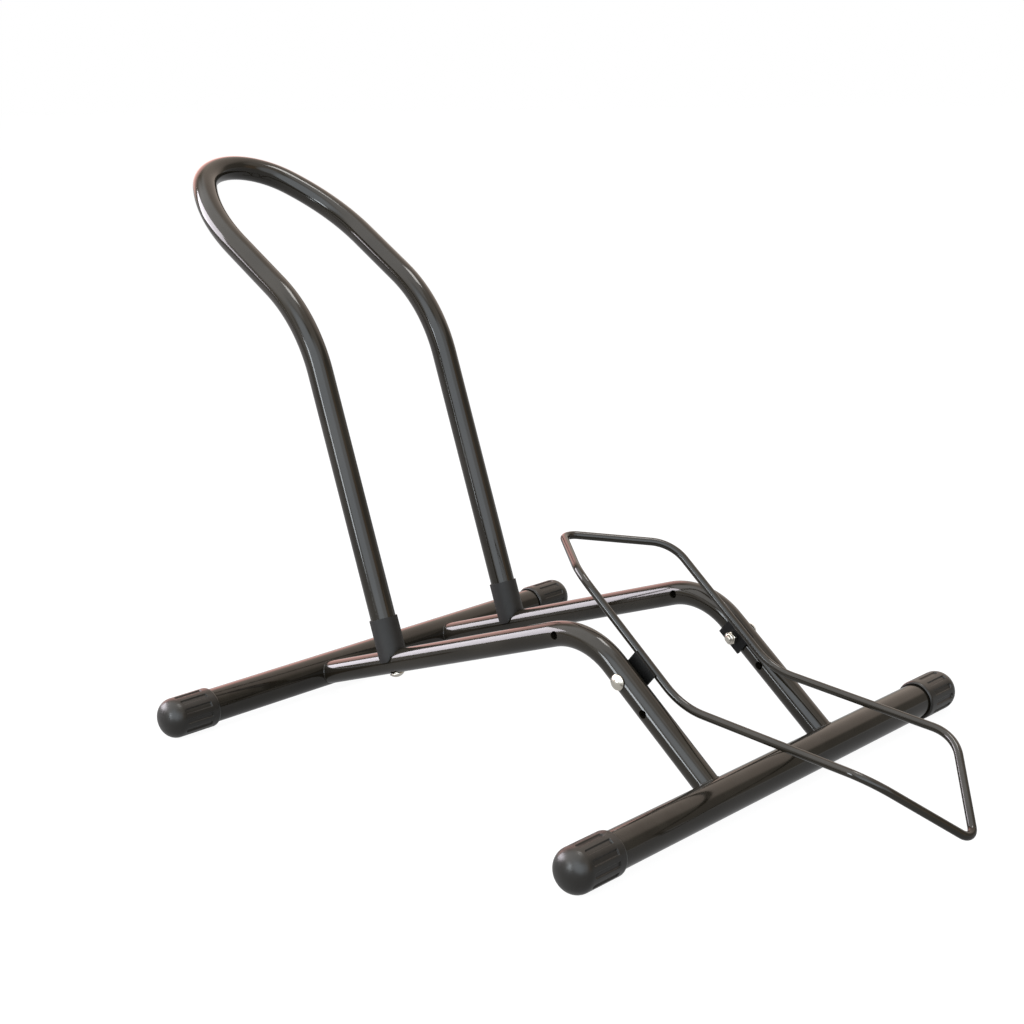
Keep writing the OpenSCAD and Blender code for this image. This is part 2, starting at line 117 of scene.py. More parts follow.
class RACK_PG_details(bpy.types.PropertyGroup):
    """Sizes of the sockets, the end caps, the fasteners and the cradle"""

    socket_r: length("Socket Radius", 10.1, "Outer radius of the sockets")
    socket_bore_r: length("Socket Bore", 9.05, "Inner radius of the sockets")
    socket_height: length("Socket Height", 31.5, "Height of the sockets above the rails' axes")
    tongue_height: length("Tongue Height", 1, "How far the sockets' tongues stay above the rails' axes")
    tongue_round: length("Tongue Corners", 3.4, "Corner radius of the sockets' tongues")
    web: length("Socket Web", 2.5, "Thickness of the web between a rail and its leg")
    cap_d: length("Cap", 27.5, "Diameter of the end caps")
    cap_length: length("Cap Length", 40.5, "Length of the end caps")
    cap_end_wall: length("Cap End Wall", 8, "Thickness of the end caps' closed ends")
    cap_collar: length("Cap Collar", 7.5, "Length of the end caps' plain collar")
    cap_lip_r: length("Cap Lip", 2.6, "Rounding at the end caps' mouths")
    cap_corner_r: length("Cap Corner", 10, "Rounding between side and dome")
    cap_crown_r: length("Cap Crown", 20, "Radius of the end caps' domes")
    mouth_depth: length("Mouth Depth", 1.8, "Depth of the recess at the end caps' mouths")
    mouth_gap: length("Mouth Gap", 0.6, "Width of that recess")
    flutes: IntProperty(name="Flutes", description="Flutes around each cap", default=12, min=0, max=16)
    flute_width: length("Flute Width", 3.3, "Width of a flute")
    flute_length: length("Flute Length", 21.5, "Length of a flute")
    flute_depth: length("Flute Depth", 0.9, "Depth of a flute")
    flute_round: length("Flute Corners", 1.3, "Corner radius of a flute's outer end")
    flute_turn: slope("Flute Turn", 0, "Turn of the first flute around the cap")
    bolt_d: length("Bolt", 5, "Diameter of the bolts")
    head_d: length("Bolt Head", 10.4, "Diameter of the bolts' heads")
    head_h: length("Bolt Head Height", 3, "Height of the bolts' heads")
    bolt_reach: length("Bolt Reach", 11, "Reach of the hoop's bolts past the sockets' webs")
    hole_d: length("Bolt Hole", 5.5, "Diameter of the holes in the rails")
    nut_flats: length("Nut", 8, "Width of the nuts across flats")
    nut_hex_h: length("Nut Hexagon", 3.6, "Height of the nuts' hexagon")
    nut_h: length("Nut Height", 5, "Height of the nuts with their collars")
    collar_r: length("Nut Collar", 3.45, "Radius of the nuts' collars")
    wire_d: length("Wire", 5.4, "Diameter of the cradle's wire")
    wire_offset: length("Wire Offset", 11, "Distance of the wire above the pivot")
    front_arm: length("Front Arm", 74.5, "Reach of the cradle's arms ahead of the pivot")
    rear_arm: length("Rear Arm", 34.5, "Reach of the cradle's arms behind the pivot")
    tail_arm: length("Tail Arm", 134, "Length of the cradle's arms down to the tail")
    nose_reach: length("Nose Reach", 56.5, "Reach of the nose from its corners to its point")
    tail_reach: length("Tail Reach", 58.2, "Reach of the tail from its corners to its point")
    nose_r: length("Nose Radius", 9, "Bend radius at the nose's point")
    corner_r: length("Corner Radius", 30, "Bend radius of the nose's and the tail's corners")
    side_r: length("Side Radius", 51, "Bend radius of the arms behind the pivot")
    tail_r: length("Tail Radius", 8, "Bend radius at the tail's point")
    plate_length: length("Plate Length", 20, "Length of the cradle's plates")
    plate_t: length("Plate", 2, "Thickness of the cradle's plates")
    plate_gap: length("Plate Gap", 0.3, "Gap between a plate and its rail")
    plate_drop: length("Plate Drop", 5.8, "How far the plates reach below the pivot")
    plate_lap: length("Plate Lap", 1.2, "How far the plates reach past the wire's axis")
    side_bend: slope("Side Bend", 35, "Bend of the cradle's arms behind the pivot")
    nose_bend: slope("Nose Bend", 33.5, "Bend of the nose")
    tail_bend: slope("Tail Bend", 39.5, "Bend of the tail")
    rest_tilt: slope("Rest Tilt", 40.3016, "Tilt of the cradle at rest")
    weld_r: length("Weld", 0.6, "Radius of the weld beads")


class RACK_PG_finish(bpy.types.PropertyGroup):
    """Colours and finishes"""

    paint: colour("Paint", (0.011, 0.009, 0.006), "Colour of the gloss paint")
    paint_gloss: amount("Paint Roughness", 0.08, "Roughness of the gloss paint")
    peel: amount("Orange Peel", 0.3, "Strength of the paint's orange peel")
    flat_paint: colour("Plate Paint", (0.004, 0.004, 0.004), "Colour of the cradle plates")
    plastic: colour("Plastic", (0.013, 0.012, 0.0105), "Colour of the moulded caps")
    sleeve: colour("Sleeve", (0.009, 0.0085, 0.008), "Colour of the sockets")
    metal: colour("Plated Steel", (0.55, 0.52, 0.46), "Colour of the bolts and nuts")
    dust: amount("Dust", 0.25, "Dust on the upper sides")


class RACK_PG_studio(bpy.types.PropertyGroup):
    """Light, floor and camera"""

    key: brightness("Side Light", 12, "the window at the left")
    fill: brightness("Front Light", 3, "the broad light in front")
    strip: brightness("Strip Light", 14, "the narrow light")
    top: brightness("High Light", 10, "the light above")
    room: brightness("Room Light", 0.5, "the room on matt surfaces")
    mirrored: amount("Mirrored Floor", 0.45, "Brightness of the white floor in gloss surfaces")
    lens: FloatProperty(name="Lens", description="Focal length in millimetres", default=61.177, min=1)
    white: BoolProperty(
        name="White Background", description="Shows the floor and the room in plain white", default=True
    )


# Places, in the row frame


def row(x, y, z):
    """A place given from the front cross tube's axis, moved into the row frame."""
    lo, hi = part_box("front_cross_tube")
    return Vector((x + (lo[0] + hi[0]) / 2, y, z))


def sizes():
    """The sizes of the tubes and of the details."""
    scene = bpy.context.scene
    return scene.rack_tubes, scene.rack_details


def layout():
    """The axes of the rails, the hoop and the cradle, as the sizes place them."""
    t, d = sizes()
    end_z = d.cap_d / 2 - t.rail_drop
    gauge = (t.hoop_gap + t.hoop_d) / 2
    start, corner = Vector((0, 0, end_z)), Vector((t.corner_run, 0, t.corner_height))
    end = Vector((t.spacing, 0, end_z))
    up, down = (corner - start).normalized(), (end - corner).normalized()
    leg = Vector((-up.z, 0, up.x))
    foot = start + t.leg_station * up
    elbow = foot + t.leg_length * leg
    rise = (t.height - t.hoop_d / 2 - elbow.z) / t.upper_length
    lean = Vector((-math.sqrt(1 - rise * rise), 0, rise))
    pivot = corner + t.pivot_station * down
    return {
        "gauge": gauge,
        "start": start,
        "corner": corner,
        "end": end,
        "up": up,
        "down": down,
        "leg": leg,
        "foot": foot,
        "elbow": elbow,
        "lean": lean,
        "crown": elbow + t.upper_length * lean,
        "pivot": pivot,
        "holes": [pivot, pivot + t.low_hole * down, corner - t.high_hole * up],
    }


def plan():
    """The sizes and the layout that they give."""
    return (*sizes(), layout())


def across(place, y):
    """A place of the layout at a distance to the right, moved into the row frame."""
    return row(place.x, y, place.z)


# Shapes


def aimed(place, direction, side=Y):
    """A matrix that puts z along a direction, and x as near as it can to a side."""
    z = direction.normalized()
    if abs(side.dot(z)) > 0.99:
        side = X
    x = (side - side.dot(z) * z).normalized()
    return Matrix.Translation(place) @ Matrix((x, z.cross(x), z)).transposed().to_4x4()


def ring_of(verts):
    """The edges that join the vertices of a ring."""
    inside = set(verts)
    touching = {e for v in verts for e in v.link_edges}
    return [e for e in touching if e.verts[0] in inside and e.verts[1] in inside]


def new_verts(made):
    return [g for g in made if isinstance(g, bmesh.types.BMVert)]


def follow(bm, radius, start, direction, moves, sides, step):
    """A round skin along moves, with its first and last ring.

    A move is ("line", vector) or ("arc", centre, axis, angle).
    """
    matrix = aimed(start, direction)
    first = bmesh.ops.create_circle(bm, radius=radius, segments=sides, matrix=matrix)["verts"]
    ring = first
    for move in moves:
        edges = ring_of(ring)
        if move[0] == "line":
            count = max(1, round(move[1].length / (3 * step)))
            for _ in range(count):
                made = bmesh.ops.extrude_edge_only(bm, edges=edges)["geom"]
                ring = new_verts(made)
                bmesh.ops.translate(bm, verts=ring, vec=move[1] / count)
                edges = ring_of(ring)
        else:
            _, centre, axis, angle = move
            reach = (ring[0].co - centre).length
            steps = max(2, round(reach * abs(angle) / step))
            made = bmesh.ops.spin(
                bm, geom=edges, cent=centre, axis=axis, angle=angle, steps=steps
            )["geom_last"]
            ring = new_verts(made)
    return first, ring


def bent_path(corners, radii, closed=False):
    """The start, direction and moves of a path through corners, each rounded to its radius."""
    count = len(corners)
    turns = []
    for i, corner in enumerate(corners):
        before, after = corner - corners[i - 1], corners[(i + 1) % count] - corner
        turns.append(before.angle(after) if radii[i] else 0)
    cuts = [r * math.tan(a / 2) if r else 0 for r, a in zip(radii, turns)]
    moves = []
    for i in range(count if closed else count - 1):
        j = (i + 1) % count
        along = (corners[j] - corners[i]).normalized()
        moves.append(("line", corners[j] - cuts[j] * along - corners[i] - cuts[i] * along))
        if radii[j]:
            onward = (corners[(j + 1) % count] - corners[j]).normalized()
            centre = corners[j] + radii[j] / math.cos(turns[j] / 2) * (onward - along).normalized()
            moves.append(("arc", centre, along.cross(onward).normalized(), turns[j]))
    first = (corners[1] - corners[0]).normalized()
    return corners[0] + cuts[0] * first, first, moves


def rod(bm, radius, path, sides, closed=False, step=FINE):
    """A solid rod along a path."""
    first, last = follow(bm, radius, *path, sides, step)
    if closed:
        bmesh.ops.remove_doubles(bm, verts=bm.verts, dist=MERGE)
    else:
        bmesh.ops.holes_fill(bm, edges=ring_of(first) + ring_of(last), sides=0)


def tube(bm, radius, wall, path, sides, step=FINE):
    """A hollow tube along a path."""
    outer = follow(bm, radius, *path, sides, step)
    inner = follow(bm, radius - wall, *path, sides, step)
    for a, b in zip(outer, inner):
        bmesh.ops.bridge_loops(bm, edges=ring_of(a) + ring_of(b))


def turned(bm, outline, matrix, steps):
    """A solid of revolution about z from an outline of (radius, z) points, from pole to pole."""
    verts = [bmesh.ops.create_vert(bm, co=(r, 0, z))["vert"][0] for r, z in outline]
    edges = [bm.edges.new(pair) for pair in zip(verts, verts[1:])]
    bmesh.ops.spin(
        bm, geom=verts + edges, cent=(0, 0, 0), axis=(0, 0, 1), angle=math.tau, steps=steps,
        use_merge=True,
    )
    bmesh.ops.remove_doubles(bm, verts=bm.verts, dist=MERGE)
    bmesh.ops.transform(bm, matrix=matrix, verts=bm.verts)


def arc(centre, radius, start, end, count):
    """Points of an arc in a section, between two angles in degrees."""
    angles = [math.radians(start + (end - start) * i / count) for i in range(count + 1)]
    return [(centre[0] + radius * math.cos(a), centre[1] + radius * math.sin(a)) for a in angles]


def spread(a, b, step):
    """Points on a straight line of a section, without its first one."""
    count = max(1, round(math.dist(a, b) / step))
    run, rise = b[0] - a[0], b[1] - a[1]
    return [(a[0] + run * i / count, a[1] + rise * i / count) for i in range(1, count + 1)]


def link(obj):
    bpy.context.scene.collection.objects.link(obj)


def mesh_object(bm, name):
    bmesh.ops.recalc_face_normals(bm, faces=bm.faces)
    mesh = bpy.data.meshes.new(name)
    bm.to_mesh(mesh)
    bm.free()
    obj = bpy.data.objects.new(name, mesh)
    link(obj)
    return obj


def applied(obj):
    """Turns an object's modifiers into its mesh."""
    graph = bpy.context.evaluated_depsgraph_get()
    mesh = bpy.data.meshes.new_from_object(obj.evaluated_get(graph))
    obj.modifiers.clear()
    obj.data = mesh


def cut(obj, tool, operation="DIFFERENCE"):
    """Cuts, joins or keeps the overlap of an object with a tool, which is used up."""
    mod = obj.modifiers.new(operation.title(), "BOOLEAN")
    mod.operation = operation
    mod.solver = "MANIFOLD"
    mod.object = tool
    applied(obj)
    if len(obj.data.polygons) < FEWEST:
        raise RuntimeError(obj.name + " was lost in a cut")
    bpy.data.objects.remove(tool)


def rounded(obj, width, segments=2):
    """Rounds an object's sharp edges."""
    mod = obj.modifiers.new("Edges", "BEVEL")
    mod.width = width
    mod.segments = segments
    mod.limit_method = "ANGLE"
    mod.angle_limit = math.radians(35)
    applied(obj)


def prism(name, matrix, radius, reach, sides):
    """A prism about z, centred, as an object."""
    bm = bmesh.new()
    bmesh.ops.create_cone(
        bm, cap_ends=True, segments=sides, radius1=radius, radius2=radius, depth=reach, matrix=matrix
    )
    return mesh_object(bm, name)


def pin(place, direction, radius, reach, sides=64):
    """A cylinder centred on a place, as a tool to cut with."""
    return prism("tool", aimed(place, direction), radius, reach, sides)


def lathe(name, outline, matrix, steps):
    """A turned solid as an object."""
    bm = bmesh.new()
    turned(bm, outline, matrix, steps)
    return mesh_object(bm, name)


def placed(obj, body, slot, material, *nodes, crease=32):
    """Gives a piece its shading, its material, its body and the CAD nodes it stands for."""
    obj.data.shade_smooth()
    obj.data.set_sharp_from_angle(angle=math.radians(crease))
    obj.data.materials.clear()
    obj.data.materials.append(material)
    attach(obj, body)
    if nodes:
        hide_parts(*nodes)


# Finishes

# The colour sockets of a Mix node, by number, because its names repeat for each type
MIX_A, MIX_B, MIX_OUT = 6, 7, 2
DUST = (0.45, 0.43, 0.40)
DUST_COVER, DUST_ROUGH = 0.1, 0.3  # how much full dust hides the colour and roughens the gloss


def cleared(owner):
    """The emptied node tree of a material or a world."""
    owner.use_nodes = True
    owner.node_tree.nodes.clear()
    return owner.node_tree


def add(tree, kind, links=(), **values):
    """A node with its values set, and its inputs linked from (socket, input name or number) pairs."""
    node = tree.nodes.new("ShaderNode" + kind)
    for key, value in values.items():
        if key in node.inputs.keys():
            node.inputs[key].default_value = value
        else:
            setattr(node, key, value)
    for source, target in links:
        tree.links.new(source, node.inputs[target])
    return node


def noise(tree, vector, scale, detail=2.0, rough=0.5):
    node = add(tree, "TexNoise", [(vector, "Vector")], Scale=scale, Detail=detail, Roughness=rough)
    return node.outputs["Fac"]


def spanned(tree, value, low, high, to_low, to_high, smooth=False):
    """A value's range moved to another range, and held inside it."""
    way = "SMOOTHSTEP" if smooth else "LINEAR"
    node = add(tree, "MapRange", [(value, "Value")], clamp=True, interpolation_type=way)
    ends = (("From Min", low), ("From Max", high), ("To Min", to_low), ("To Max", to_high))
    for key, number in ends:
        node.inputs[key].default_value = number
    return node.outputs["Result"]


def maths(tree, operation, a, b):
    node = add(tree, "Math", operation=operation)
    for i, value in enumerate((a, b)):
        if isinstance(value, (int, float)):
            node.inputs[i].default_value = value
        else:
            tree.links.new(value, node.inputs[i])
    return node.outputs[0]


def blended(tree, amount_of_b, a, b):
    """A colour between a and b, each a plain colour or a socket."""
    node = add(tree, "Mix", data_type="RGBA")
    for number, value in ((0, amount_of_b), (MIX_A, a), (MIX_B, b)):
        if isinstance(value, bpy.types.NodeSocket):
            tree.links.new(value, node.inputs[number])
        else:
            node.inputs[number].default_value = (*value, 1)
    return node.outputs[MIX_OUT]


def surface_group():
    """Orange peel, cloudy patches, fine specks, moulded grain and dust, shared by all finishes."""
    if "Rack Surface" in bpy.data.node_groups:
        return bpy.data.node_groups["Rack Surface"]
    tree = bpy.data.node_groups.new("Rack Surface", "ShaderNodeTree")
    tree.interface.new_socket("Vector", in_out="INPUT", socket_type="NodeSocketVector")
    for label in ("Peel", "Patches", "Specks", "Grain", "Dust"):
        tree.interface.new_socket(label, in_out="OUTPUT", socket_type="NodeSocketFloat")
    start = tree.nodes.new("NodeGroupInput")
    end = tree.nodes.new("NodeGroupOutput")
    vector = start.outputs["Vector"]
    tree.links.new(noise(tree, vector, 300, 1.0), end.inputs["Peel"])
    tree.links.new(spanned(tree, noise(tree, vector, 22, 3.0), 0.35, 0.65, 0, 1), end.inputs["Patches"])
    tree.links.new(spanned(tree, noise(tree, vector, 1500, 2.0), 0.66, 0.74, 0, 1), end.inputs["Specks"])
    tree.links.new(noise(tree, vector, 1900, 3.0, 0.6), end.inputs["Grain"])
    normal = add(tree, "NewGeometry").outputs["Normal"]
    height = add(tree, "SeparateXYZ", [(normal, 0)]).outputs["Z"]
    upward = spanned(tree, height, 0.25, 0.95, 0, 1)
    cloud = spanned(tree, noise(tree, vector, 60, 5.0, 0.7), 0.45, 0.75, 0, 1)
    tree.links.new(maths(tree, "MULTIPLY", upward, cloud), end.inputs["Dust"])
    return tree


def finish(name, base, rough, rough_span, light, light_mask, bump, metallic=0.0, ior=1.5, dust=0.0):
    """A base colour with lighter specks or patches, varied roughness and a fine bump."""
    if name in bpy.data.materials:
        return bpy.data.materials[name]
    material = bpy.data.materials.new(name)
    tree = cleared(material)
    surface = tree.nodes.new("ShaderNodeGroup")
    surface.node_tree = surface_group()
    tree.links.new(add(tree, "TexCoord").outputs["Object"], surface.inputs["Vector"])
    shader = add(tree, "BsdfPrincipled", Metallic=metallic, IOR=ior)
    tree.links.new(shader.outputs[0], add(tree, "OutputMaterial").inputs[0])
    tint = blended(tree, surface.outputs[light_mask], base, light)
    cover = maths(tree, "MULTIPLY", surface.outputs["Dust"], dust * DUST_COVER)
    tree.links.new(blended(tree, cover, tint, DUST), shader.inputs["Base Color"])
    patches = spanned(tree, surface.outputs["Patches"], 0, 1, rough, rough + rough_span)
    dulled = maths(tree, "MULTIPLY", surface.outputs["Dust"], dust * DUST_ROUGH)
    worn = maths(tree, "ADD", patches, dulled)
    tree.links.new(worn, shader.inputs["Roughness"])
    normal = None
    for output, strength, distance in bump:
        node = add(tree, "Bump", [(surface.outputs[output], "Height")], Strength=strength, Distance=distance)
        if normal:
            tree.links.new(normal, node.inputs["Normal"])
        normal = node.outputs["Normal"]
    tree.links.new(normal, shader.inputs["Normal"])
    return material


def gloss_paint():
    f = bpy.context.scene.rack_finish
    light = [c * 1.5 + 0.002 for c in f.paint]
    bump = [("Peel", f.peel, 0.006 * MM)]
    return finish(
        "Gloss Paint", f.paint, f.paint_gloss, 0.03, light, "Patches", bump, ior=1.43, dust=f.dust
    )


def plate_paint():
    f = bpy.context.scene.rack_finish
    light = [c * 1.8 + 0.004 for c in f.flat_paint]
    bump = [("Peel", 0.6, 0.05 * MM), ("Grain", 0.3, 0.02 * MM)]
    return finish(
        "Plate Paint", f.flat_paint, 0.45, 0.08, light, "Patches", bump, ior=1.24, dust=0.4 * f.dust
    )


def cap_plastic():
    f = bpy.context.scene.rack_finish
    light = [c * 1.6 for c in f.plastic]
    bump = [("Peel", 0.2, 0.02 * MM), ("Grain", 0.3, 0.01 * MM)]
    return finish(
        "Cap Plastic", f.plastic, 0.29, 0.06, light, "Specks", bump, ior=1.43, dust=f.dust
    )


def sleeve_plastic():
    f = bpy.context.scene.rack_finish
    light = [c * 1.5 for c in f.sleeve]
    bump = [("Grain", 0.6, 0.02 * MM)]
    return finish(
        "Sleeve Plastic", f.sleeve, 0.5, 0.08, light, "Specks", bump, ior=1.4, dust=f.dust
    )


def plated_steel():
    f = bpy.context.scene.rack_finish
    light = [min(1, c * 1.12) for c in f.metal]
    bump = [("Grain", 0.35, 0.01 * MM)]
    return finish(
        "Plated Steel", f.metal, 0.17, 0.1, light, "Patches", bump, metallic=1.0, dust=0.3
    )


# Pieces


class RACK_OT_cross_tubes(bpy.types.Operator):
    """Build the two cross tubes between the end caps"""

    bl_idname = "rack.cross_tubes"
    bl_label = "Cross Tubes"
    bl_options = {"REGISTER", "UNDO"}

    def execute(self, context):
        t, d = sizes()
        half = t.width / 2 - d.cap_end_wall
        for node, x in (("front_cross_tube", 0), ("rear_cross_tube", t.spacing)):
            bm = bmesh.new()
            path = bent_path([row(x, -half, d.cap_d / 2), row(x, half, d.cap_d / 2)], [0, 0])
            tube(bm, t.cross_d / 2, t.wall, path, t.sides, 10 * MM)
            placed(mesh_object(bm, node + "_skin"), "base_frame", "black_paint", gloss_paint(), node)
        return {"FINISHED"}


class RACK_OT_rails(bpy.types.Operator):
    """Build the two bent rails with their holes and fitted ends"""

    bl_idname = "rack.rails"
    bl_label = "Rails"
    bl_options = {"REGISTER", "UNDO"}

    def execute(self, context):
        t, d, at = plan()
        for side, sign in SIDES:
            y = sign * at["gauge"]
            bm = bmesh.new()
            corners = [across(at[k], y) for k in ("start", "corner", "end")]
            tube(bm, t.rail_d / 2, t.wall, bent_path(corners, [0, t.rail_bend_r, 0]), t.sides)
            obj = mesh_object(bm, side + "_rail_skin")
            for x in (0, t.spacing):
                cut(obj, pin(row(x, y, d.cap_d / 2), Y, t.cross_d / 2, 2 * t.rail_d, 2 * t.sides))
            for hole in at["holes"]:
                cut(obj, pin(across(hole, y), Y, d.hole_d / 2, 2 * t.rail_d))
            cut(obj, pin(across(at["foot"], y), at["leg"], d.hole_d / 2, 2 * t.rail_d))
            placed(obj, "base_frame", "black_paint", gloss_paint(), side + "_rail")
        return {"FINISHED"}


class RACK_OT_hoop(bpy.types.Operator):
    """Build the hoop: two legs, the bends above them and the arch"""

    bl_idname = "rack.hoop"
    bl_label = "Hoop"
    bl_options = {"REGISTER", "UNDO"}

    def execute(self, context):
        t, d, at = plan()
        gauge, lean = at["gauge"], at["lean"]
        reach, crown_r = t.arch_reach, t.arch_crown_r
        side_r = (reach**2 - 2 * reach * crown_r + gauge**2) / (2 * (gauge - crown_r))
        side_turn = math.atan2(reach - crown_r, side_r - gauge)
        seat = at["foot"] + (t.rail_d / 2 + d.web) * at["leg"]
        arch = at["crown"] - reach * lean
        corners = (seat, at["elbow"], arch)
        radii = [0, t.hoop_bend_r, 0]
        start, direction, moves = bent_path([across(p, -gauge) for p in corners], radii)
        axis = lean.cross(Y)
        moves.append(("arc", across(arch, side_r - gauge), axis, side_turn))
        crown = across(at["crown"] - crown_r * lean, 0)
        moves.append(("arc", crown, axis, math.pi - 2 * side_turn))
        moves.append(("arc", across(arch, gauge - side_r), axis, side_turn))
        moves += bent_path([across(p, gauge) for p in reversed(corners)], radii)[2]
        bm = bmesh.new()
        tube(bm, t.hoop_d / 2, t.wall, (start, direction, moves), t.sides)
        placed(mesh_object(bm, "hoop_skin"), "base_frame", "black_paint", gloss_paint(), "hoop")
        return {"FINISHED"}


class RACK_OT_sockets(bpy.types.Operator):
    """Build the sockets that the hoop's legs stand in, saddled on the rails"""

    bl_idname = "rack.sockets"
    bl_label = "Sockets"
    bl_options = {"REGISTER", "UNDO"}

    steps = 8  # rings of faces from a socket's mouth down to its lower edge

    def low_edge(self, x, y, t, d):
        """Height of the lower edge above the rail's axis: on the rail, or the outline of the tongue."""
        rail = math.sqrt(max(0, (t.rail_d / 2) ** 2 - y * y))
        half = math.sqrt(d.socket_r**2 - (t.rail_d / 2) ** 2 + d.tongue_height**2)
        past = min(abs(x) - (half - d.tongue_round), d.tongue_round)
        tongue = d.tongue_height
        if past > 0:
            tongue += d.tongue_round - math.sqrt(max(0, d.tongue_round**2 - past**2))
        return max(rail, tongue)

    def execute(self, context):
        t, d, at = plan()
        for side, sign in SIDES:
            y = sign * at["gauge"]
            bm = bmesh.new()
            rings = []
            for radius in (d.socket_r, d.socket_bore_r):
                ring = bmesh.ops.create_circle(bm, radius=radius, segments=3 * t.sides)["verts"]
                bmesh.ops.translate(bm, verts=ring, vec=(0, 0, d.socket_height))
                rings.append([ring])
                for step in range(1, self.steps + 1):
                    made = bmesh.ops.extrude_edge_only(bm, edges=ring_of(ring))["geom"]
                    ring = new_verts(made)
                    for v in ring:
                        drop = self.low_edge(v.co.x, v.co.y, t, d) - d.socket_height
                        v.co.z = d.socket_height + drop * step / self.steps
                    rings[-1].append(ring)
            outer, inner = rings
            rims = []
            for i in (0, -1):
                bmesh.ops.bridge_loops(bm, edges=ring_of(outer[i]) + ring_of(inner[i]))
                rims += ring_of(outer[i])
            rims += ring_of(inner[0])
            bmesh.ops.bevel(
                bm, geom=rims, offset=0.3 * MM, offset_type="OFFSET", segments=3, profile=0.5,
                affect="EDGES", material=-1, clamp_overlap=True,
            )
            matrix = aimed(across(at["foot"], y), at["leg"], at["up"])
            bmesh.ops.transform(bm, matrix=matrix, verts=bm.verts)
            obj = mesh_object(bm, side + "_socket_skin")
            placed(obj, "base_frame", "black_plastic", sleeve_plastic(), side + "_socket", crease=50)
        return {"FINISHED"}


class RACK_OT_end_caps(bpy.types.Operator):
    """Build the four fluted end caps"""

    bl_idname = "rack.end_caps"
    bl_label = "End Caps"
    bl_options = {"REGISTER", "UNDO"}

    steps = 432  # faces around a cap, a whole number for each flute

    def outline(self, t, d):
        """A cap's section from the pole of its dome to the pole of its blind bore, z from the mouth."""
        r, corner, crown = d.cap_d / 2, d.cap_corner_r, d.cap_crown_r
        sink = math.sqrt((crown - corner) ** 2 - (r - corner) ** 2)
        dome_z = d.cap_length - (crown - sink)
        joint = math.degrees(math.atan2(sink, r - corner))
        bore, mouth = t.cross_d / 2 + TUBE_FIT, t.cross_d / 2 + d.mouth_gap
        points = [(0, d.cap_length)] + arc((0, dome_z - sink), crown, 90, joint, 24)[1:]
        points += arc((r - corner, dome_z), corner, joint, 0, 20)[1:]
        # The steps are finer where the flutes begin and end, so that their edges stay crisp
        flute_end = d.cap_collar + d.flute_length
        points += spread((r, dome_z), (r, flute_end - d.flute_round), 0.15 * MM)
        points += spread(points[-1], (r, d.cap_collar + 0.6 * MM), 1.2 * MM)
        points += spread(points[-1], (r, d.cap_collar - 0.4 * MM), 0.1 * MM)
        points += spread(points[-1], (r, d.cap_lip_r), 0.8 * MM)
        points += arc((r - d.cap_lip_r, d.cap_lip_r), d.cap_lip_r, 0, -90, 12)[1:]
        edge = 0.25 * MM
        points = [p for p in points if p[0] > mouth + edge or p[1] > d.cap_lip_r]
        points += arc((mouth + edge, points[-1][1] + edge), edge, -90, -180, 4)
        points += [(mouth, d.mouth_depth), (bore, d.mouth_depth), (bore, d.cap_length - d.cap_end_wall)]
        return points + [(0, d.cap_length - d.cap_end_wall)]

    def pressed(self, co, d):
        """How far a point of the cap's side is pressed in by a flute, from 0 to 1."""
        angle = math.atan2(co.y, co.x)
        pitch = math.tau / d.flutes
        off = (angle + d.flute_turn + pitch / 2) % pitch - pitch / 2
        across_flute = abs(off) * d.cap_d / 2
        a = across_flute - (d.flute_width / 2 - d.flute_round)
        b = co.z - (d.cap_collar + d.flute_length - d.flute_round)
        outer = math.hypot(max(a, 0), max(b, 0)) + min(max(a, b), 0) - d.flute_round
        distance = max(outer, across_flute - d.flute_width / 2, d.cap_collar - co.z)
        blend = min(max(0.5 - distance / (0.45 * MM), 0), 1)
        return blend * blend * (3 - 2 * blend)

    def execute(self, context):
        t, d = sizes()
        ends = (("front", 0), ("rear", t.spacing))
        for end, x, side, sign in [(*e, *s) for e in ends for s in SIDES]:
            node = end + "_" + side + "_cap"
            bm = bmesh.new()
            turned(bm, self.outline(t, d), Matrix(), self.steps)
            if d.flutes:
                for v in bm.verts:
                    radius = v.co.xy.length
                    if radius > d.cap_d / 2 - 0.01 * MM:
                        v.co.xy *= (radius - d.flute_depth * self.pressed(v.co, d)) / radius
            place = row(x, sign * (t.width / 2 - d.cap_length), d.cap_d / 2)
            outward = Matrix(((1, 0, 0), (0, 0, sign), (0, -1, 0))).to_4x4()
            matrix = Matrix.Translation(place) @ outward
            bmesh.ops.transform(bm, matrix=matrix, verts=bm.verts)
            obj = mesh_object(bm, node + "_skin")
            placed(obj, "base_frame", "black_plastic", cap_plastic(), node, crease=60)
        return {"FINISHED"}


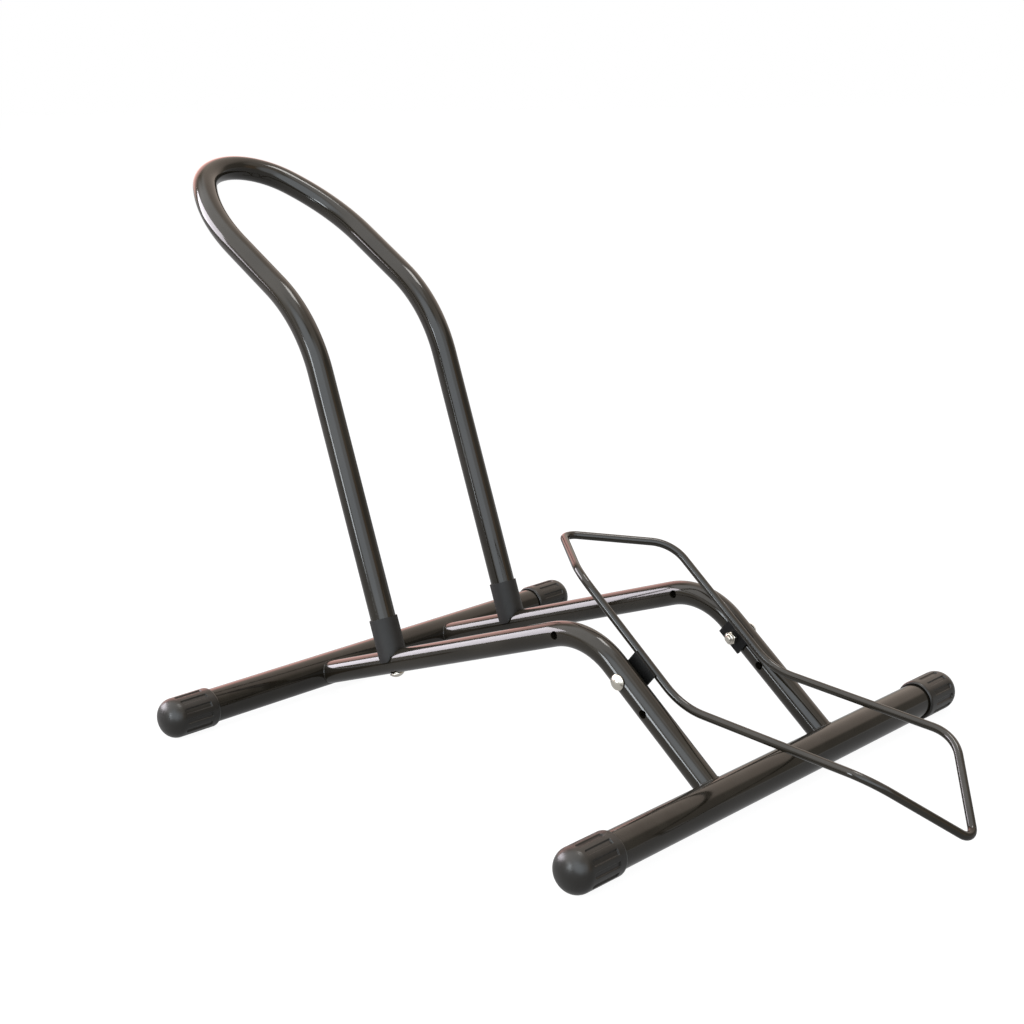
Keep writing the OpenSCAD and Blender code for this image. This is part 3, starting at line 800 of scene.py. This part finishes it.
class RACK_OT_bolts(bpy.types.Operator):
    """Build the domed bolts at the pivots and under the hoop's legs, and finish the plugs they screw into"""

    bl_idname = "rack.bolts"
    bl_label = "Bolts"
    bl_options = {"REGISTER", "UNDO"}

    def bolt(self, node, place, direction, grip, d):
        """A bolt whose head sits under a place and whose threaded end points along a direction."""
        head, shank, edge = d.head_d / 2, d.bolt_d / 2, 0.6 * MM
        dome = d.head_h - edge
        dome_r = (head * head + dome * dome) / (2 * dome)
        sweep = math.degrees(math.asin(head / dome_r))
        points = [(0, -d.head_h)] + arc((0, dome_r - d.head_h), dome_r, -90, sweep - 90, 24)[1:-1]
        points += arc((head - 0.25 * MM, -edge), 0.25 * MM, -60, 0, 4)
        points += arc((head - 0.2 * MM, -0.2 * MM), 0.2 * MM, 0, 90, 4)[1:] + [(shank, 0)]
        thread, pitch, groove, tip = 9 * MM, 0.8 * MM, 0.32 * MM, 0.8 * MM
        z = grip - thread
        points.append((shank, z))
        while z < grip - 1.5 * pitch:
            points += [(shank - groove, z + 0.4 * MM), (shank, z + 0.7 * MM), (shank, z + pitch)]
            z += pitch
        points += [(shank - tip, grip), (0, grip)]
        obj = lathe(node + "_skin", points, aimed(place, direction, X), 72)
        placed(obj, "base_frame", "plated_steel", plated_steel(), node, crease=40)

    def execute(self, context):
        t, d, at = plan()
        for side, sign in SIDES:
            y = sign * at["gauge"]
            low = at["foot"] - t.rail_d / 2 * at["leg"]
            grip = t.rail_d + d.web + d.bolt_reach
            self.bolt(side + "_hoop_bolt", across(low, y), at["leg"], grip, d)
            lo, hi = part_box(side + "_pivot_bolt")
            place = across(at["pivot"], sign * (at["gauge"] + t.rail_d / 2))
            grip = hi[1] - lo[1] - d.head_h
            self.bolt(side + "_pivot_bolt", place, -sign * Y, grip, d)
            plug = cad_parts[side + "_leg_plug"]
            plug.data.materials.clear()
            plug.data.materials.append(plated_steel())
        return {"FINISHED"}


class RACK_OT_nuts(bpy.types.Operator):
    """Build the lock nuts on the pivot bolts"""

    bl_idname = "rack.nuts"
    bl_label = "Lock Nuts"
    bl_options = {"REGISTER", "UNDO"}

    def execute(self, context):
        _, d, at = plan()
        for side, sign in SIDES:
            lo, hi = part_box(side + "_pivot_nut")
            base_y = hi[1] if sign > 0 else lo[1]
            place, inward = across(at["pivot"], base_y), -sign * Y
            first_corner = Matrix.Rotation(d.rest_tilt, 3, "Y") @ X
            matrix = aimed(place, inward, first_corner)
            corner = d.nut_flats / 2 / math.cos(math.radians(30))
            high = d.nut_hex_h
            lift = Matrix.Translation((0, 0, high / 2))
            quarter = Matrix.Rotation(math.pi / 2, 4, "Z")
            node = side + "_pivot_nut"
            obj = prism(node + "_skin", matrix @ lift @ quarter, corner, high, 6)
            # The hexagon's corners are cut off by a turned body
            top, wide, bevel = corner - 0.5 * MM, corner + 0.1 * MM, 0.6 * MM
            outline = [(0, high), (top, high), (wide, high - bevel), (wide, bevel), (top, 0), (0, 0)]
            cut(obj, lathe("tool", outline, matrix, 96), "INTERSECT")
            edge = 1 * MM
            outline = [(0, d.nut_h)] + arc((d.collar_r - edge, d.nut_h - edge), edge, 90, 0, 8)
            outline += [(d.collar_r, edge), (0, edge)]
            cut(obj, lathe("tool", outline, matrix, 96), "UNION")
            cut(obj, pin(place, Y, d.bolt_d / 2 + NUT_FIT, 4 * d.nut_h))
            rounded(obj, 0.12 * MM)
            placed(obj, "base_frame", "plated_steel", plated_steel(), node, crease=40)
        return {"FINISHED"}


class RACK_OT_cradle(bpy.types.Operator):
    """Build the tilting cradle: the wire loop, its two pivot plates and their welds"""

    bl_idname = "rack.cradle"
    bl_label = "Cradle"
    bl_options = {"REGISTER", "UNDO"}

    def execute(self, context):
        t, d, at = plan()
        pivot = across(at["pivot"], 0)
        turn = Matrix.Translation(pivot) @ Matrix.Rotation(d.rest_tilt, 4, "Y")
        plate_outer = at["gauge"] - t.rail_d / 2 - d.plate_gap
        plate_inner = plate_outer - d.plate_t
        wire_y = plate_inner - d.wire_d / 2

        def ray(angle):
            return Vector((math.cos(angle), 0, math.sin(angle)))

        nose = Vector((-d.front_arm, 0, d.wire_offset))
        side = Vector((d.rear_arm, 0, d.wire_offset))
        tail = side + d.tail_arm * ray(d.side_bend)
        half = [p + wire_y * Y for p in (nose, side, tail)]
        corners = [nose - d.nose_reach * ray(d.nose_bend)] + half
        corners.append(tail + d.tail_reach * ray(d.side_bend - d.tail_bend))
        corners += [p - 2 * wire_y * Y for p in reversed(half)]
        sides = [d.corner_r, d.side_r, d.corner_r]
        radii = [d.nose_r] + sides + [d.tail_r] + sides
        path = bent_path([turn @ p for p in corners], radii, closed=True)
        bm = bmesh.new()
        rod(bm, d.wire_d / 2, path, 48, closed=True, step=FINE / 2)
        obj = mesh_object(bm, "cradle_wire")
        placed(obj, "cradle", "black_paint", gloss_paint(), "cradle_loop")
        low, high = -d.plate_drop, d.wire_offset + d.plate_lap
        weld_r = 0.85 * d.weld_r
        weld_z = d.wire_offset - d.wire_d / 2 - 0.1 * MM
        weld_half, count = 8.5 * MM, 48
        for label, sign in SIDES:
            bm = bmesh.new()
            bmesh.ops.create_cube(bm, size=1)
            bmesh.ops.scale(bm, vec=(d.plate_length, d.plate_t, high - low), verts=bm.verts)
            middle = (0, sign * (plate_outer - d.plate_t / 2), (low + high) / 2)
            bmesh.ops.translate(bm, vec=middle, verts=bm.verts)
            bmesh.ops.transform(bm, matrix=turn, verts=bm.verts)
            obj = mesh_object(bm, label + "_cradle_plate_skin")
            hole = pivot + sign * plate_outer * Y
            cut(obj, pin(hole, Y, d.bolt_d / 2 + PLATE_FIT, 4 * d.plate_t))
            rounded(obj, 0.3 * MM, 3)
            node = label + "_cradle_plate"
            placed(obj, "cradle", "black_paint_flat", plate_paint(), node)
            bead = []
            for i in range(count + 1):
                x = weld_half * (2 * i / count - 1)
                bead.append(turn @ Vector((x, sign * (plate_inner - 0.35 * MM), weld_z)))
            weld(label + "_plate_weld", bead, weld_r, False, "cradle")
        return {"FINISHED"}


def weld(name, places, radius, closed, body):
    """A rippled weld bead along a row of places."""
    curve = bpy.data.curves.new(name, "CURVE")
    curve.dimensions = "3D"
    curve.bevel_depth = radius
    curve.bevel_resolution = 5
    curve.use_fill_caps = not closed
    line = curve.splines.new("POLY")
    line.points.add(len(places) - 1)
    line.use_cyclic_u = closed
    travelled = 0
    for i, place in enumerate(places):
        travelled += (place - places[i - 1]).length if i else 0
        end = 1 if closed else min(1, 0.35 + min(i, len(places) - 1 - i) / 4)
        ripple = abs(math.sin(math.pi * travelled / (1.6 * MM)))
        swell = math.sin(travelled / (3.1 * MM))
        line.points[i].co = (*place, 1)
        line.points[i].radius = end * (0.93 + 0.10 * ripple + 0.05 * swell)
    made = bpy.data.objects.new(name, curve)
    link(made)
    graph = bpy.context.evaluated_depsgraph_get()
    bm = bmesh.new()
    bm.from_mesh(made.evaluated_get(graph).to_mesh())
    bpy.data.objects.remove(made)
    bmesh.ops.remove_doubles(bm, verts=bm.verts, dist=MERGE)
    placed(mesh_object(bm, name), body, "black_paint", gloss_paint(), crease=60)


class RACK_OT_welds(bpy.types.Operator):
    """Lay a weld bead around each joint between a rail and a cross tube"""

    bl_idname = "rack.welds"
    bl_label = "Welds"
    bl_options = {"REGISTER", "UNDO"}

    steps = 240  # places along a weld

    def execute(self, context):
        t, d, at = plan()
        for side, sign in SIDES:
            y = sign * at["gauge"]
            ends = (
                ("front", 0, at["start"], at["up"]),
                ("rear", t.spacing, at["end"], -at["down"]),
            )
            for label, x, end, out in ends:
                places = []
                for i in range(self.steps):
                    angle = math.tau * i / self.steps
                    ring = t.rail_d / 2 * (math.cos(angle) * Y + math.sin(angle) * out.cross(Y))
                    # From the cross tube's axis, and on along the rail until its skin is met
                    base = end + ring - Vector((x, 0, d.cap_d / 2))
                    base.y = 0
                    along = base.dot(out)
                    square = (t.cross_d / 2) ** 2 - base.length_squared + along**2
                    shift = math.sqrt(max(0, square)) - along
                    places.append(across(end + shift * out + ring, y + ring.y))
                weld(side + "_" + label + "_weld", places, d.weld_r, True, "base_frame")
        return {"FINISHED"}


# What gloss surfaces mirror of the room, patches painted one over the other: azimuth (0 along +Y,
# 90 along +X), height, reach of the full colour and of its faded edge, all in degrees, and colour
ROOM = (
    (0, 90, 25, 42, (2.4, 2.35, 2.3)),
    (-15, 42, 22, 45, (1.3, 1.1, 0.95)),
    (-140, 48, 22, 40, (2.6, 2.55, 2.5)),
    (75, 50, 14, 26, (1.4, 1.25, 1.1)),
    (-65, 17, 15, 28, (2.4, 1.4, 1.25)),
    (40, 12, 16, 28, (0.42, 0.38, 0.33)),
    (75, 17, 6, 16, (0.9, 0.65, 0.45)),
    (105, 25, 12, 26, (2.1, 2.2, 2.3)),
    (150, 22, 22, 38, (3.0, 3.25, 3.5)),
    (-160, 10, 6, 12, (1.3, 1.25, 1.2)),
)


def bearing(azimuth, height):
    """A direction from its azimuth and its height in degrees."""
    a, h = math.radians(azimuth), math.radians(height)
    return Vector((math.sin(a) * math.cos(h), math.cos(a) * math.cos(h), math.sin(h)))


FLOOR_WHITE = 0.93
LIGHT_REACH = 2  # metres from the rack to each light
AIM = Vector((0, 0, 0.12))  # what the lights point at
# The camera fitted to the photo: its place from the front cross tube's axis, its turn in degrees
CAMERA_PLACE = (0.932074, -0.858353, 0.426687)
CAMERA_TURN = (76.37523, 0.54185, 42.68599)
CAMERA_SHIFT = (-0.00189, 0.00088)
ROOM_BASE = (0.5, 0.44, 0.36)
WHITE = (1, 1, 1)


class RACK_OT_studio(bpy.types.Operator):
    """Set up the floor, the lights, the room and the camera"""

    bl_idname = "rack.studio"
    bl_label = "Studio"
    bl_options = {"REGISTER", "UNDO"}

    def softbox(self, name, direction, width, height, radiance, tint, mirrored=True):
        light = bpy.data.lights.new(name, "AREA")
        light.shape = "RECTANGLE"
        light.size, light.size_y = width, height
        light.energy = radiance * math.pi * width * height
        light.color = tint
        obj = bpy.data.objects.new(name, light)
        obj.location = direction * LIGHT_REACH + AIM
        obj.rotation_euler = direction.to_track_quat("Z", "Y").to_euler()
        obj.visible_camera = False
        obj.visible_glossy = mirrored
        link(obj)

    def floor(self, s):
        bm = bmesh.new()
        bmesh.ops.create_circle(bm, cap_ends=True, radius=40, segments=96)
        obj = mesh_object(bm, "floor")
        material = bpy.data.materials.new("Studio Floor")
        tree = cleared(material)
        matt = add(tree, "BsdfDiffuse", Color=(0.15, 0.15, 0.15, 1))
        path = add(tree, "LightPath")
        mirrored = maths(tree, "MULTIPLY", path.outputs["Is Glossy Ray"], s.mirrored)
        shown = maths(tree, "ADD", path.outputs["Is Camera Ray"], mirrored)
        shown = maths(tree, "ADD", shown, path.outputs["Is Transmission Ray"])
        white = maths(tree, "MULTIPLY", shown, FLOOR_WHITE if s.white else 0.0)
        glow = add(tree, "Emission", [(white, "Strength")], Color=(1, 1, 1, 1))
        both = add(tree, "AddShader", [(matt.outputs[0], 0), (glow.outputs[0], 1)])
        tree.links.new(both.outputs[0], add(tree, "OutputMaterial").inputs[0])
        obj.data.materials.append(material)

    def room(self, scene, s):
        world = bpy.data.worlds.new("Studio")
        tree = cleared(world)
        path = add(tree, "LightPath")
        seen = add(tree, "Background", Color=(1, 1, 1, 1), Strength=1.0 if s.white else 0.5)
        matt = add(tree, "Background", Color=(1, 1, 1, 1), Strength=s.room)
        mirrored = add(tree, "Background", Strength=1.0)
        way = add(tree, "TexCoord").outputs["Generated"]
        shade = ROOM_BASE
        for azimuth, height, core, edge, tint in ROOM:
            facing = add(tree, "VectorMath", [(way, 0)], operation="DOT_PRODUCT")
            facing.inputs[1].default_value = bearing(azimuth, height)
            near, far = math.cos(math.radians(core)), math.cos(math.radians(edge))
            patch = spanned(tree, facing.outputs["Value"], far, near, 0, 1, smooth=True)
            shade = blended(tree, patch, shade, tint)
        height = add(tree, "SeparateXYZ", [(way, 0)]).outputs["Z"]
        horizon = spanned(tree, height, 0.0, 0.07, 1, 0)
        tree.links.new(blended(tree, horizon, shade, WHITE), mirrored.inputs["Color"])
        bright = maths(tree, "ADD", path.outputs["Is Glossy Ray"], path.outputs["Is Transmission Ray"])
        lit = add(tree, "MixShader", [(bright, 0), (matt.outputs[0], 1), (mirrored.outputs[0], 2)])
        from_camera = path.outputs["Is Camera Ray"]
        all_rays = add(tree, "MixShader", [(from_camera, 0), (lit.outputs[0], 1), (seen.outputs[0], 2)])
        tree.links.new(all_rays.outputs[0], add(tree, "OutputWorld").inputs[0])
        scene.world = world

    def execute(self, context):
        scene, s = context.scene, context.scene.rack_studio
        self.floor(s)
        self.room(scene, s)
        self.softbox("Side Light", bearing(-117, 18), 1.3, 0.85, s.key, (0.97, 0.92, 1.0))
        self.softbox("Front Light", bearing(152, 20), 2.2, 1.5, s.fill, (0.95, 0.98, 1.0), mirrored=False)
        self.softbox("Strip Light", bearing(-172, 8), 0.32, 0.75, s.strip, (0.87, 0.94, 1.0))
        self.softbox("High Light", bearing(15, 76), 0.5, 0.5, s.top, (1, 0.98, 0.95))
        camera = bpy.data.objects.new("Camera", bpy.data.cameras.new("Camera"))
        camera.location = row(*CAMERA_PLACE)
        camera.rotation_euler = [math.radians(a) for a in CAMERA_TURN]
        camera.data.lens = s.lens
        camera.data.sensor_width = 36
        camera.data.shift_x, camera.data.shift_y = CAMERA_SHIFT
        camera.data.clip_end = 100
        link(camera)
        scene.camera = camera
        scene.view_settings.view_transform = "Standard"
        return {"FINISHED"}


PIECES = (
    RACK_OT_cross_tubes,
    RACK_OT_rails,
    RACK_OT_hoop,
    RACK_OT_sockets,
    RACK_OT_end_caps,
    RACK_OT_bolts,
    RACK_OT_nuts,
    RACK_OT_cradle,
    RACK_OT_welds,
    RACK_OT_studio,
)
GROUPS = (
    ("rack_tubes", RACK_PG_tubes),
    ("rack_details", RACK_PG_details),
    ("rack_finish", RACK_PG_finish),
    ("rack_studio", RACK_PG_studio),
)


class RACK_PT_panel(bpy.types.Panel):
    """The rack's pieces, sizes, finishes and studio"""

    bl_idname = "RACK_PT_panel"
    bl_label = "Floor Bike Rack"
    bl_space_type = "VIEW_3D"
    bl_region_type = "UI"
    bl_category = "Rack"

    def draw(self, context):
        for piece in PIECES:
            self.layout.operator(piece.bl_idname)
        for key, group in GROUPS:
            box = self.layout.box()
            box.label(text=key.replace("_", " ").title())
            for name in group.__annotations__:
                box.prop(getattr(context.scene, key), name)


def register():
    for key, group in GROUPS:
        bpy.utils.register_class(group)
        setattr(bpy.types.Scene, key, PointerProperty(type=group))
    for cls in (*PIECES, RACK_PT_panel):
        bpy.utils.register_class(cls)


def unregister():
    for cls in reversed((*PIECES, RACK_PT_panel)):
        bpy.utils.unregister_class(cls)
    for key, group in reversed(GROUPS):
        delattr(bpy.types.Scene, key)
        bpy.utils.unregister_class(group)


def main():
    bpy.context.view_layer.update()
    register()
    for piece in PIECES:
        area, name = piece.bl_idname.split(".")
        getattr(getattr(bpy.ops, area), name)()


if __name__ == "__main__":
    main()
